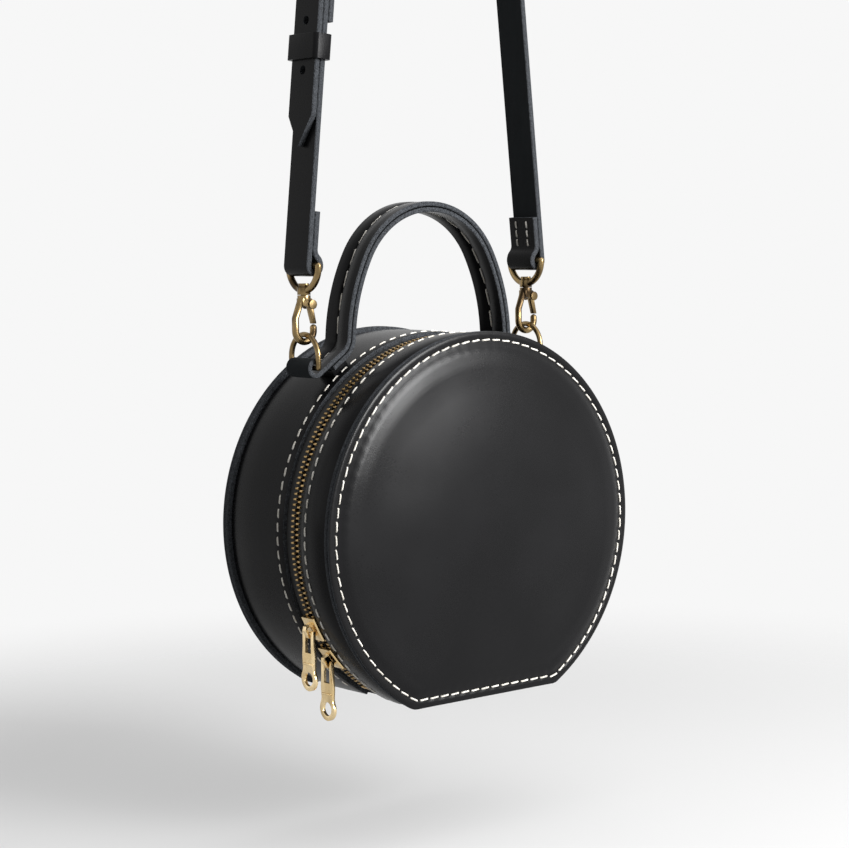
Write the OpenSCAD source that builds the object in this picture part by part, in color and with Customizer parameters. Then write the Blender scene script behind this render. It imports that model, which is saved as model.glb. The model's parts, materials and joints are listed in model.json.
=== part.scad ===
// Round leather handbag on a long strap: two stiff discs with a flat chord at the bottom,
// a gusset with a zip round it, a two-layer top handle and clip-on strap hardware.
// The origin is the centre of the strap's crown, where it goes over a hook or a shoulder.
// X runs across the bag, Y from its front to its back, Z up.

/* [Bag] */
// Radius of the two discs
disc_r = 95; // [85:1:105]
// Height of the flat bottom edge below the disc's centre
flat_drop = 83.5; // [80:0.5:86]
// Depth over both discs' rims
bag_depth = 87; // [80:1:95]
// How far each disc's face domes out
dome_rise = 7; // [3:0.5:9]
// Outside radius of the gusset
gusset_r = 93.6; // [93:0.1:94]
// Leather thickness of the discs
panel_t = 2.2; // [1.8:0.1:2.6]
// Leather thickness of the gusset, base and handle
wall_t = 2.4; // [2:0.1:2.6]

/* [Zip] */
// Distance of the zip's centre line behind the front rim
zip_y = 31; // [28:0.5:33]
// Width of the slot between the two gusset edges
zip_slot = 14.7; // [13:0.1:16]
// Spacing of the teeth on one side
tooth_pitch = 2.54; // [2:0.01:3]
// Rest angle of the upper slider
upper_slider_a = 208; // [200:0.5:212]
// Rest angle of the lower slider
lower_slider_a = 219.5; // [218:0.5:224]

/* [Handle] */
// Width of the handle
handle_w = 18.6; // [16:0.1:20]
// Distance of the handle and strap behind the front rim
hardware_y = 49.2; // [49:0.1:52]
// Height of the handle's top over the disc's centre
handle_top = 157.4; // [150:0.1:165]
// Outside radius of the handle's top arc
handle_arc_r = 46; // [42:0.5:50]

/* [Strap] */
// Width of the strap
strap_w = 19; // [16:0.5:19]
// Thickness of the strap
strap_t = 3; // [2:0.1:3]
// Inside radius of the strap's crown
crown_r = 26; // [20:1:40]
// Height of the crown's centre over the eyes' bars
strap_drop = 486; // [300:1:600]
// Distance of the rings and hooks from the middle
hardware_x = 71.1; // [70:0.1:73]

/* [Hidden] */
$fn = 64;

far = 400;
skin = 0.05;
leather = "#1b1c1f";
brass = "#c79a3c";
old_brass = "#8f7442";
cream = "#e9e2cf";
tape_black = "#101114";

flange_t = 2.1;
flange_in_r = 87;
corner_r = 5;
panel_stitch_in = 4.3;
dome_r = 88;
gusset_low = -81.3;
base_top = gusset_low + wall_t;
flange_split = -77;
slot_front = zip_y - zip_slot / 2;
slot_rear = zip_y + zip_slot / 2;
front_flange_y = panel_t + skin;
front_wall_y = front_flange_y + flange_t;
rear_flange_y = bag_depth - panel_t - skin;
rear_wall_y = rear_flange_y - flange_t;
front_stitch_y = slot_front - 3.2;
rear_stitch_y = slot_rear + 4;
hinge_gap = 0.3;
seat = 0.4;
ease = 0.04;

tape_r = 90.6;
tape_t = 0.5;
tape_w = 14;
tape_edge = 1;
tooth_top = 92.2;
tooth_low = 89.8;
tooth_near = 0.45;
tooth_far = 2.7;
tooth_t = 0.95;
zip_start = -57;
zip_end = 237;
rest_gap_low = 203.5;
rest_gap_high = 224.3;
thread_w = 0.8;
thread_t = 0.5;

slider_len = 12.5;
slider_half_w = 5;
slider_channel = 3.1;
slider_gap = 0.78;
crown_half = 3.6;
crown_w = 2.4;
crown_top = 98;
pivot_r = 95.7;
pull_len = 28.5;

eye_bar_z = 127.3;
drop = strap_drop + eye_bar_z;
wire_eye = 1.7;
eye_r = 11.75;
ring_wire = 1.35;
ring_r = 10.8;
ring_bar_z = 79;
ring_side = 4.8;
curl_x = hardware_x;
curl_z = 78.7;
hook_wire = 1.7;
bow_r = 5.25;
bow_z = 96.45;
gate_x = 3;
gate_z = 12.5;
boss_low = 17.15;
boss_high = 20.75;
cap_low = 21.05;

foot_slope = 35;
foot_len = 17.7;
leg_r = 97;
top_turn = 62;
leg_turn = 25;
root_r = 8;

loop_r = wire_eye + 0.3 + strap_t / 2;
lay = strap_t + 0.1;
lean_right = strap_lean(crown_r + strap_t / 2 - loop_r);
lean_left = strap_lean(crown_r + strap_t / 2 - loop_r - lay);

right_fold = 22.3;
left_fold = 25.8;
buckle_u = 159.8;
buckle_len = 18;
buckle_wire = 1.6;
buckle_fold_end = 115.2;
keeper_u = 97;
keeper_len = 12;
tail_point = 56;
tail_shoulder = 71;
first_hole = 92;
hole_r = 2.2;
hole_step = 23.5;

// Lean of a strap whose bar lies at this distance from the crown's centre line
function strap_lean(c) =
    acos(c / norm([hardware_x, strap_drop])) - atan2(strap_drop, hardware_x);

// Points of an arc about c, from angle a to angle b
function arc_points(c, r, a, b, n = 12) =
    [for (i = [0:n]) c + r * [cos(a + (b - a) * i / n), sin(a + (b - a) * i / n)]];

// Direction at point i of a path
function path_dir(p, i) =
    let (a = p[max(i - 1, 0)], b = p[min(i + 1, len(p) - 1)]) (b - a) / norm(b - a);

// Outline of a strip of thickness t whose middle follows the path p
function strip_outline(p, t) = concat(
    [for (i = [0:len(p) - 1]) let (d = path_dir(p, i)) p[i] + t / 2 * [-d[1], d[0]]],
    [for (j = [0:len(p) - 1]) let (i = len(p) - 1 - j, d = path_dir(p, i))
        p[i] - t / 2 * [-d[1], d[0]]]);

// Children drawn in X and Z, standing from y0 to y1
module plate_y(y0, y1) {
    translate([0, y1, 0]) rotate([90, 0, 0]) linear_extrude(y1 - y0) children();
}

// Ring about the bag's axis whose profile is drawn as radius and depth, from angle a to b
module ring_y(a, b) {
    rotate([90, 0, 0]) rotate([0, 0, a]) rotate_extrude(angle = b - a, $fn = 160)
        mirror([0, 1]) children();
}

module in_bag() {
    translate([0, -hardware_y, -drop]) children();
}

module round_bar(p, q, r) {
    d = q - p;
    translate(p) rotate([0, acos(d[2] / norm(d)), atan2(d[1], d[0])])
        cylinder(h = norm(d), r = r, $fn = 40);
}

// Round bar from p to q with ball ends
module rod(p, q, r) {
    round_bar(p, q, r);
    translate(p) sphere(r, $fn = 40);
    translate(q) sphere(r, $fn = 40);
}

// Disc's outline, inset by this much: a circle with a flat chord, rounded where it can be
module disc_outline(inset = 0) {
    r = disc_r - inset;
    low = -flat_drop + inset;
    c = max(corner_r - inset, 1.5);
    cx = sqrt(pow(r - c, 2) - pow(low + c, 2));
    out = 1.1 * r / (r - c);
    difference() {
        intersection() {
            circle(r, $fn = 160);
            translate([-far / 2, low]) square(far);
        }
        if (inset < corner_r - 1.5) for (s = [-1, 1]) difference() {
            polygon([[s * cx, low + c], [s * cx, low - 3], [s * (cx + 4 * c), low - 3],
                [s * cx * out, (low + c) * out]]);
            translate([s * cx, low + c]) circle(c, $fn = 40);
        }
    }
}

function dome_at(r) = dome_rise * (1 - pow(r / dome_r, 2.4));

// Domed disc, its rim's face at y = 0 and its dome towards -Y
module panel() {
    steps = 16;
    outer = [for (i = [0:steps]) [dome_r * i / steps, -dome_at(dome_r * i / steps)]];
    inner = [for (j = [0:steps]) let (i = steps - j)
        [dome_r * i / steps, panel_t - dome_at(dome_r * i / steps)]];
    difference() {
        plate_y(0, panel_t) disc_outline();
        intersection() {
            translate([0, -1, 0]) rotate([-90, 0, 0]) cylinder(h = 10, r = dome_r - 4);
            translate([-far / 2, -far / 2, -76]) cube(far);
        }
    }
    intersection() {
        ring_y(0, 360) polygon(concat(outer, inner));
        translate([-far / 2, -far / 2, -78.7]) cube(far);
    }
}

module above(z) {
    intersection() {
        children();
        translate([-far / 2, -far / 2, z]) cube(far);
    }
}

// Turned edge of a gusset or base between y0 and y1
module flange(y0, y1) {
    plate_y(y0, y1) difference() {
        disc_outline();
        circle(flange_in_r, $fn = 160);
    }
}

module seam_ring(y0, y1) {
    plate_y(y0, y1) difference() {
        disc_outline(panel_stitch_in - thread_w / 2);
        disc_outline(panel_stitch_in + thread_w / 2);
    }
}

module back_panel() {
    color(leather) in_bag() translate([0, bag_depth, 0]) mirror([0, 1, 0]) panel();
}

module front_panel() {
    color(leather) in_bag() panel();
}

module rear_gusset() {
    ridge = gusset_r;
    color(leather) in_bag() {
        above(flange_split) flange(rear_wall_y, rear_flange_y);
        above(gusset_low) ring_y(-62, 242) polygon([
            [ridge - wall_t, slot_rear], [ridge, slot_rear], [ridge, rear_wall_y - 8],
            [ridge - 1, rear_wall_y + skin], [ridge - wall_t - 1, rear_wall_y + skin],
            [ridge - wall_t, rear_wall_y - 8]]);
    }
}

module front_gusset() {
    crest = 13;
    color(leather) in_bag() {
        above(flange_split) flange(front_flange_y, front_wall_y);
        above(gusset_low) ring_y(-62, 242) polygon([
            [gusset_r - wall_t - 1.2, front_wall_y - skin], [gusset_r - 1.2, front_wall_y - skin],
            [gusset_r + 0.2, crest - 3], [gusset_r + 0.3, crest], [gusset_r, slot_front],
            [gusset_r - wall_t, slot_front], [gusset_r - wall_t + 0.3, crest],
            [gusset_r - wall_t + 0.2, crest - 3]]);
    }
}

// Base strip between y0 and y1, inside the gusset's ends, with its turned edge
module base_strip(y0, y1, edge0, edge1) {
    plate_y(y0, y1) intersection() {
        circle(gusset_r - wall_t - 1.3, $fn = 160);
        translate([-far / 2, gusset_low]) square([far, wall_t]);
    }
    intersection() {
        plate_y(edge0, edge1) disc_outline();
        translate([-far / 2, 0, -flat_drop - 1])
            cube([far, bag_depth, flat_drop + 1 + flange_split - skin]);
    }
}

module base_rear() {
    color(leather) in_bag()
        base_strip(zip_y + hinge_gap, rear_wall_y + skin, rear_wall_y, rear_flange_y);
}

module base_front() {
    color(leather) in_bag()
        base_strip(front_wall_y - skin, zip_y - hinge_gap, front_flange_y, front_wall_y);
}

module back_seam_thread() {
    color(cream) in_bag() seam_ring(bag_depth + skin, bag_depth + skin + thread_t);
}

module front_seam_thread() {
    color(cream) in_bag() seam_ring(-skin - thread_t, -skin);
}

module gusset_thread(y, r) {
    ring_y(-56, 236) translate([r + skin, y - thread_w / 2]) square([thread_t, thread_w]);
}

module rear_zip_thread() {
    color(cream) in_bag() gusset_thread(rear_stitch_y, gusset_r);
}

module front_zip_thread() {
    color(cream) in_bag() gusset_thread(front_stitch_y, gusset_r + 0.15);
}

module tape(y0, y1) {
    ring_y(zip_start, zip_end) translate([tape_r, y0]) square([tape_t, y1 - y0]);
}

module zip_tape_rear() {
    color(tape_black) in_bag() tape(zip_y + tape_edge, zip_y + tape_edge + tape_w);
}

module zip_tape_front() {
    color(tape_black) in_bag() tape(zip_y - tape_edge - tape_w, zip_y - tape_edge);
}

// One tooth clamped over the tape's edge; side is 1 behind the centre line, -1 before it
module tooth(a, side) {
    mid = tape_r + tape_t / 2;
    slit = tape_t / 2 + skin;
    rotate([90, 0, 0]) rotate([0, 0, a]) translate([0, 0, 0])
        rotate([90, 0, 0]) translate([0, 0, -tooth_t / 2]) linear_extrude(tooth_t)
            translate([0, -zip_y]) scale([1, -side]) polygon([
                [tooth_low, tooth_near], [tooth_top, tooth_near], [tooth_top, tooth_far],
                [mid + slit, tooth_far], [mid + slit, tape_edge - skin],
                [mid - slit, tape_edge - skin], [mid - slit, tooth_far],
                [tooth_low, tooth_far]]);
}

function tooth_step() = tooth_pitch / (tape_r * PI / 180);

module zip_teeth_rear() {
    color(brass) in_bag()
        for (a = [zip_start + 2:tooth_step():zip_end - 2]) tooth(a, 1);
}

module zip_teeth_front() {
    color(brass) in_bag()
        for (a = [zip_start + 2 + tooth_step() / 2:tooth_step():zip_end - 2])
            if (a < rest_gap_low || a > rest_gap_high) tooth(a, -1);
}

module zip_stop(a, side) {
    y0 = side > 0 ? zip_y + 0.5 : zip_y - 2.8;
    ring_y(a, a + 1.4) translate([tape_r + tape_t + skin, y0]) square([1.4, 2.3]);
}

module zip_stops_rear() {
    color(brass) in_bag() for (a = [zip_start, zip_end - 1.4]) zip_stop(a, 1);
}

module zip_stops_front() {
    color(brass) in_bag() for (a = [zip_start, zip_end - 1.4]) zip_stop(a, -1);
}

// Slider centred at angle a: two plates with side lips, a divider and a crown
module slider(a) {
    half_a = slider_len / 2 / tooth_top * 180 / PI;
    mid = tape_r + tape_t / 2;
    plate_top = tooth_top + 1.7;
    plate_low = tooth_low - 1.7;
    color(brass) in_bag() {
        ring_y(a - half_a, a + half_a) for (s = [-1, 1]) translate([0, zip_y]) {
            polygon([
                [plate_top, 0], [plate_top, s * (slider_half_w - 0.6)],
                [plate_top - 0.6, s * slider_half_w], [mid + slider_gap, s * slider_half_w],
                [mid + slider_gap, s * slider_channel], [tooth_top + 0.4, s * slider_channel],
                [tooth_top + 0.4, 0]]);
            polygon([
                [plate_low, 0], [plate_low, s * (slider_half_w - 0.6)],
                [plate_low + 0.6, s * slider_half_w], [mid - slider_gap, s * slider_half_w],
                [mid - slider_gap, s * slider_channel], [tooth_low - 0.4, s * slider_channel],
                [tooth_low - 0.4, 0]]);
        }
        ring_y(a - half_a * 0.2, a + half_a * 0.2)
            translate([plate_low + 0.5, zip_y - 0.15]) square([plate_top - plate_low - 1, 0.3]);
        rotate([0, -a, 0]) crown(plate_top);
    }
}

// Crown over the pull's bar, drawn with the radius along X
module crown(foot_r) {
    translate([0, zip_y + crown_w / 2, 0]) rotate([90, 0, 0]) linear_extrude(crown_w)
        difference() {
            polygon([[foot_r - 0.3, -crown_half], [crown_top - 1.4, -crown_half],
                [crown_top, -crown_half + 1.6], [crown_top, crown_half - 1.6],
                [crown_top - 1.4, crown_half], [foot_r - 0.3, crown_half]]);
            translate([foot_r + 0.1, -crown_half + 1.2])
                square([crown_top - 1.3 - foot_r - 0.1, 2 * crown_half - 2.4]);
        }
}

module slider_upper() {
    slider(upper_slider_a);
}

module slider_lower() {
    slider(lower_slider_a);
}

// Flat pull hanging from the crown at angle a, with its window, waist and round end
module pull(a) {
    t = 1.5;
    bar = 0.65;
    end_r = 5.7;
    window_w = 4.5;
    window_len = 5;
    color(brass) in_bag()
        translate([pivot_r * cos(a), zip_y, pivot_r * sin(a)]) {
            rotate([90, 0, 0]) cylinder(h = window_w + 1, r = bar, center = true, $fn = 32);
            translate([-t / 2, 0, 0]) rotate([90, 0, 90]) linear_extrude(t) difference() {
                union() {
                    translate([-window_w / 2 - 2, -window_len - 2])
                        square([window_w + 4, window_len + 2.6]);
                    polygon([[-window_w / 2 - 2, -window_len - 1.5],
                        [window_w / 2 + 2, -window_len - 1.5], [4.75, -12], [4.3, -18],
                        [end_r, 5.5 - pull_len], [-end_r, 5.5 - pull_len], [-4.3, -18],
                        [-4.75, -12]]);
                    translate([0, end_r - pull_len]) circle(end_r, $fn = 48);
                }
                translate([-window_w / 2, -window_len]) square([window_w, window_len + 4]);
                translate([0, end_r - pull_len]) circle(3.35, $fn = 40);
            }
        }
}

module pull_upper() {
    pull(upper_slider_a);
}

module pull_lower() {
    pull(lower_slider_a);
}

// Left half of the handle's outer face, from the top down to the foot, moved in by this much
function handle_half(inset, foot) = let (
    c1 = [0, handle_top - handle_arc_r],
    p = c1 + handle_arc_r * [cos(90 + top_turn), sin(90 + top_turn)],
    c2 = p - leg_r * [cos(90 + top_turn), sin(90 + top_turn)],
    start = c2 + (leg_r - inset) * [cos(90 + top_turn), sin(90 + top_turn)],
    a2 = 90 + top_turn + leg_turn,
    q = c2 + leg_r * [cos(a2), sin(a2)],
    c3 = q + root_r * [cos(a2), sin(a2)],
    r3 = root_r + inset,
    b = a2 - 180,
    e = foot_slope - 90,
    f = c3 + r3 * [cos(e), sin(e)],
    d = [-cos(foot_slope), -sin(foot_slope)])
    concat(
        [start - seat * [-sin(90 + top_turn), cos(90 + top_turn)], start],
        [for (i = [1:6]) let (a = 90 + top_turn + leg_turn * i / 6)
            c2 + (leg_r - inset) * [cos(a), sin(a)]],
        [for (i = [1:8]) c3 + r3 * [cos(b + (e - b) * i / 8), sin(b + (e - b) * i / 8)]],
        foot > 0 ? [f + foot * d] : []);

// Top arc of a handle layer whose outside radius is r
module handle_top_arc(r, half_w, t) {
    translate([0, 0, handle_top - handle_arc_r]) rotate([90, 0, 0]) rotate([0, 0, 90 - top_turn])
        rotate_extrude(angle = 2 * top_turn, $fn = 160)
            translate([r - t, -half_w]) square([t, 2 * half_w]);
}

// A handle layer whose outer face is moved in by this much, with its curls if it has them
module handle_layer(inset, foot, curled) {
    a = foot_slope - 90;
    curl = arc_points([-curl_x, curl_z], wall_t * 1.5, a, a - 225, 40);
    path = concat(handle_half(inset + wall_t / 2, foot),
        curled ? [for (i = [1:40]) curl[i]] : []);
    half_w = handle_w / 2;
    in_bag() translate([0, hardware_y, 0]) {
        handle_top_arc(handle_arc_r - inset, half_w, wall_t);
        for (s = [0, 1]) mirror([s, 0, 0]) plate_y(ease / 2 - half_w, half_w - ease / 2)
            polygon(strip_outline(path, wall_t - ease));
    }
}

module handle_outer() {
    color(leather) handle_layer(0, foot_len, true);
}

module handle_inner() {
    color(leather) handle_layer(wall_t + skin, 8, false);
}

module handle_pad(s) {
    plane = 97.6;
    color(leather) in_bag() mirror([s, 0, 0]) intersection() {
        translate([0, hardware_y, 0]) plate_y(-5.9, 7.5) rotate([0, 0, 90 + foot_slope])
            difference() {
                translate([gusset_r - 3, -5]) square([plane - gusset_r + 3, 10]);
                circle(gusset_r + skin, $fn = 160);
            }
    }
}

module handle_pad_left() {
    handle_pad(0);
}

module handle_pad_right() {
    handle_pad(1);
}

module handle_thread() {
    path = handle_half(-skin - thread_t / 2, 0);
    half_w = thread_w / 2;
    color(cream) in_bag() translate([0, hardware_y, 0]) {
        handle_top_arc(handle_arc_r + skin + thread_t, half_w, thread_t);
        for (s = [0, 1]) mirror([s, 0, 0]) plate_y(ease / 2 - half_w, half_w - ease / 2)
            polygon(strip_outline([for (i = [0:7]) path[i]], thread_t - ease));
    }
}

module d_ring(s) {
    top = ring_side;
    w = ring_wire;
    color(old_brass) in_bag() translate([s * curl_x, hardware_y, ring_bar_z]) {
        rod([0, -ring_r, 0], [0, ring_r, 0], w);
        for (k = [-1, 1]) rod([0, k * ring_r, 0], [0, k * ring_r, top], w);
        translate([0, 0, top]) rotate([90, 0, 90])
            rotate_extrude(angle = 180, $fn = 96) translate([ring_r, 0]) circle(w, $fn = 40);
    }
}

module d_ring_left() {
    d_ring(-1);
}

module d_ring_right() {
    d_ring(1);
}

module at_hook(s) {
    in_bag() translate([s * hardware_x, hardware_y, bow_z]) children();
}

// Hook: a bow with its nose, a back, two ears for the gate, a shoulder and a swivel post
module hook(s) {
    w = hook_wire;
    color(old_brass) at_hook(s) {
        rotate([90, 0, 0]) rotate([0, 0, 180])
            rotate_extrude(angle = 180, $fn = 96) translate([bow_r, 0]) circle(w, $fn = 40);
        round_bar([-bow_r, 0, -0.01], [-bow_r, 0, 6], w);
        rod([-bow_r, 0, 6], [-1.8, 0, 15], w - 0.02);
        round_bar([bow_r, 0, -0.01], [bow_r, 0, 1.2], w);
        translate([bow_r, 0, 1.2]) sphere(w, $fn = 40);
        translate([0, 0, 14.15]) cylinder(h = 2.7, r = 3.2, $fn = 48);
        for (k = [-1, 1]) translate([0, k * 2.05, 0]) rotate([90, 0, 0])
            translate([0, 0, -0.6]) linear_extrude(1.2) difference() {
                union() {
                    translate([gate_x, gate_z]) circle(1.9, $fn = 40);
                    polygon([[-2.4, 12.2], [gate_x, gate_z - 1.9], [gate_x + 1.9, gate_z],
                        [2.6, 15.4], [-2.4, 15.4]]);
                }
                translate([gate_x, gate_z]) circle(0.6, $fn = 32);
            }
        translate([0, 0, 15]) cylinder(h = cap_low + 0.5 - 15, r = 1.5, $fn = 40);
        translate([0, 0, cap_low]) cylinder(h = 1.5, r = 2.6, $fn = 48);
    }
}

module hook_left() {
    hook(-1);
}

module hook_right() {
    hook(1);
}

module gate(s) {
    half = 1.3;
    color(old_brass) at_hook(s) translate([gate_x, 0, gate_z]) difference() {
        union() {
            rotate([90, 0, 0]) cylinder(h = 2 * half, r = 1.5, center = true, $fn = 40);
            translate([0, half, 0]) rotate([90, 0, 0]) linear_extrude(2 * half)
                polygon([[-1.2, -0.6], [1.45, -0.4], [3.35, -9.3], [1.2, -9.3]]);
        }
        rotate([90, 0, 0]) cylinder(h = 4, r = 0.66, center = true, $fn = 32);
    }
}

module gate_left() {
    gate(-1);
}

module gate_right() {
    gate(1);
}

module gate_pin(s) {
    color(old_brass) at_hook(s) translate([gate_x, 0, gate_z]) rotate([90, 0, 0])
        cylinder(h = 5.9, r = 0.59, center = true, $fn = 32);
}

module gate_pin_left() {
    gate_pin(-1);
}

module gate_pin_right() {
    gate_pin(1);
}

// Swivel eye: a straight bar for the strap, a half ring under it and a boss for the post
module eye(s) {
    bar = eye_bar_z - bow_z;
    color(old_brass) at_hook(s) difference() {
        union() {
            rod([0, -eye_r, bar], [0, eye_r, bar], wire_eye);
            translate([0, 0, bar]) rotate([90, 0, 90]) rotate([0, 0, 180])
                rotate_extrude(angle = 180, $fn = 96) translate([eye_r, 0])
                    circle(wire_eye, $fn = 40);
            translate([0, 0, boss_low]) cylinder(h = boss_high - boss_low, r = 3.2, $fn = 48);
        }
        translate([0, 0, boss_low - 1]) cylinder(h = 8, r = 1.56, $fn = 40);
        translate([0, 0, boss_high]) cylinder(h = 3, r = 2.9, $fn = 48);
    }
}

module eye_left() {
    eye(-1);
}

module eye_right() {
    eye(1);
}

// Children drawn about an eye's bar, with X outwards and Z up along the strap
module at_bar_right() {
    translate([hardware_x, 0, -strap_drop]) rotate([0, -lean_right, 0]) children();
}

module at_bar_left() {
    mirror([1, 0, 0]) translate([hardware_x, 0, -strap_drop]) rotate([0, -lean_left, 0])
        children();
}

function run_length(lean) = hardware_x * sin(lean) + strap_drop * cos(lean);

// Middle of a strap's end folded round the eye's bar, from the fold's end to the main run
function eye_fold(end, top) = concat(
    [[loop_r - lay, end]],
    [for (i = [8:-1:1]) let (t = i / 8)
        [-loop_r + (2 * loop_r - lay) * (1 - cos(180 * t)) / 2, 8 * t]],
    arc_points([0, 0], loop_r, -180, 0, 14),
    [[loop_r, top]]);

// Corners taken off a fold so that it clears the eye's half ring
module fold_corners() {
    translate([-8, 0, 0]) rotate([90, 0, 90]) linear_extrude(16) for (s = [-1, 1])
        polygon([[s * 8.75, -7], [s * 8.75, -2.2], [s * 9.7, -1.2], [s * 12, -1.2], [s * 12, -7]]);
}

module strap_strip(path) {
    plate_y(-strap_w / 2, strap_w / 2) polygon(strip_outline(path, strap_t));
}

// One length of leather: fold round the right eye, crown, and the tail through the buckle
module strap_long() {
    slope = (tail_shoulder - tail_point) / (strap_w / 2);
    half_w = strap_w / 2 - ease / 2;
    color(leather) {
        rotate([90, 0, 0]) rotate([0, 0, lean_right])
            rotate_extrude(angle = 180 - lean_right - lean_left, $fn = 160)
                translate([crown_r, -strap_w / 2]) square([strap_t, strap_w]);
        at_bar_right() difference() {
            plate_y(-half_w, half_w) polygon(strip_outline(
                eye_fold(right_fold, run_length(lean_right) + seat), strap_t - ease));
            fold_corners();
        }
        at_bar_left() translate([loop_r + lay - (strap_t - ease) / 2, 0, 0])
            rotate([90, 0, 90]) linear_extrude(strap_t - ease) difference() {
                polygon([[-half_w, run_length(lean_left) + seat], [-half_w, tail_shoulder],
                    [0, tail_point], [half_w, tail_shoulder],
                    [half_w, run_length(lean_left) + seat]]);
                for (k = [0:2]) translate([0, first_hole + k * hole_step])
                    circle(hole_r, $fn = 32);
                translate([0, buckle_u + 2.7]) circle(hole_r + 0.2, $fn = 32);
            }
    }
}

module strap_short() {
    bar_x = loop_r - strap_t / 2 - 0.3 - buckle_wire;
    turn = loop_r - bar_x;
    path = concat(
        eye_fold(left_fold, buckle_u),
        [for (i = [1:14]) [bar_x + turn * cos(180 * i / 14), buckle_u + turn * sin(180 * i / 14)]],
        [for (i = [1:8]) let (t = i / 8)
            [bar_x - turn + (loop_r - lay - bar_x + turn) * (1 - cos(180 * t)) / 2,
                buckle_u - 9 * t]],
        [[loop_r - lay, buckle_fold_end]]);
    color(leather) at_bar_left() difference() {
        strap_strip(path);
        fold_corners();
        translate([-8, -2.2, buckle_u - 5]) cube([16, 4.4, 12]);
    }
}

module strap_keeper() {
    gap = 0.15;
    t = 2;
    low = loop_r - strap_t / 2 - gap;
    deep = 2 * strap_t + 0.1 + 2 * gap;
    color(leather) at_bar_left() translate([0, 0, keeper_u]) linear_extrude(keeper_len)
        difference() {
            translate([low - t, -strap_w / 2 - gap - t])
                square([deep + 2 * t, strap_w + 2 * gap + 2 * t]);
            translate([low, -strap_w / 2 - gap]) square([deep, strap_w + 2 * gap]);
        }
}

module buckle_frame() {
    bar_x = loop_r - strap_t / 2 - 0.3 - buckle_wire;
    far_x = loop_r + lay + strap_t / 2 + 0.3 + buckle_wire;
    half = strap_w / 2 + 0.6 + buckle_wire;
    color(old_brass) at_bar_left() {
        rod([bar_x, -half, buckle_u], [bar_x, half, buckle_u], buckle_wire);
        rod([far_x, -half, buckle_u + buckle_len], [far_x, half, buckle_u + buckle_len],
            buckle_wire);
        for (k = [-1, 1])
            rod([bar_x, k * half, buckle_u], [far_x, k * half, buckle_u + buckle_len],
                buckle_wire);
    }
}

// Prong: an eye on the frame's bar, a rise through the strap's hole and a tip on the far bar
module buckle_prong() {
    bar_x = loop_r - strap_t / 2 - 0.3 - buckle_wire;
    arm = concat([[2.1, 0.97]], arc_points([7.78, 5.81], 2, -65.1, -13.35, 8), [[13.2, 20]]);
    color(old_brass) at_bar_left() translate([bar_x, 0, buckle_u]) {
        rotate([90, 0, 0]) difference() {
            cylinder(h = 2.6, r = buckle_wire + 1.2, center = true, $fn = 48);
            cylinder(h = 4, r = buckle_wire + 0.06, center = true, $fn = 48);
        }
        plate_y(-1.1, 1.1) polygon(strip_outline(arm, 2));
    }
}

// Two rows of three stitches on both faces of a folded end, from u upwards
module fold_stitches(u, faces) {
    for (x = faces)
        for (row = [-4, 4]) for (k = [0:2])
            translate([x, row - 0.4, u + k * 4.6]) cube([0.3, 0.8, 3.2]);
}

inner_face = loop_r - lay - strap_t / 2 - skin - 0.3;
outer_face = loop_r + strap_t / 2 + skin;

module strap_thread_left() {
    color(cream) at_bar_left() {
        fold_stitches(left_fold - 15.5, [inner_face]);
        for (row = [-4, 4]) for (k = [0:2])
            translate([inner_face, row - 0.4,
                buckle_fold_end + 2 + k * 4.6]) cube([0.3, 0.8, 3.2]);
    }
}

module strap_thread_right() {
    color(cream) at_bar_right() fold_stitches(right_fold - 14.5, [inner_face, outer_face]);
}

back_panel();
rear_gusset();
base_rear();
front_panel();
front_gusset();
base_front();
back_seam_thread();
front_seam_thread();
rear_zip_thread();
front_zip_thread();
zip_tape_rear();
zip_tape_front();
zip_teeth_rear();
zip_teeth_front();
zip_stops_rear();
zip_stops_front();
slider_upper();
slider_lower();
pull_upper();
pull_lower();
handle_outer();
handle_inner();
handle_pad_left();
handle_pad_right();
handle_thread();
d_ring_left();
d_ring_right();
hook_left();
hook_right();
gate_left();
gate_right();
gate_pin_left();
gate_pin_right();
eye_left();
eye_right();
strap_long();
strap_short();
strap_keeper();
buckle_frame();
buckle_prong();
strap_thread_left();
strap_thread_right();
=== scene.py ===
# %% [markdown]
# This lesson dresses a round leather bag. The imported model gives every part's place and how
# it moves, so the first cell loads it.

# %% Load the imported model
import json
import math

import bmesh
import bpy
from mathutils import Matrix, Quaternion, Vector


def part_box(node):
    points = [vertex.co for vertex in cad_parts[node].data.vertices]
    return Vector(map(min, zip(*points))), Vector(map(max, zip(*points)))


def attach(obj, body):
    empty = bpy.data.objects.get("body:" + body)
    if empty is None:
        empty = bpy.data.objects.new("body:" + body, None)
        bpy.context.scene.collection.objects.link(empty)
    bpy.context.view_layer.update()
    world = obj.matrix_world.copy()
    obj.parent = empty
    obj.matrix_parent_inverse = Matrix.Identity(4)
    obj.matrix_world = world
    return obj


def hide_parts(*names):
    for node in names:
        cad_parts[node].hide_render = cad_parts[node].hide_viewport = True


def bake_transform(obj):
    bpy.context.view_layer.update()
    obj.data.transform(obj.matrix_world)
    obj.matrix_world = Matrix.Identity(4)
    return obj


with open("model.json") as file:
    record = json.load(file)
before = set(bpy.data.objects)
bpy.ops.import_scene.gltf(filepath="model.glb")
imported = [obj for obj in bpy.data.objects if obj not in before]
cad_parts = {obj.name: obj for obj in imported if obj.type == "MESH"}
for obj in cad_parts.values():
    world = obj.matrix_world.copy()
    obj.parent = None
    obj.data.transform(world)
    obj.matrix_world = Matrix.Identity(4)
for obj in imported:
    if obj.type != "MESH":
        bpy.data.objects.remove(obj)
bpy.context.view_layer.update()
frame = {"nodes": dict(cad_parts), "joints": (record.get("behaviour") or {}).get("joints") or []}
joints = {j["name"]: j for j in frame["joints"]}

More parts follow.
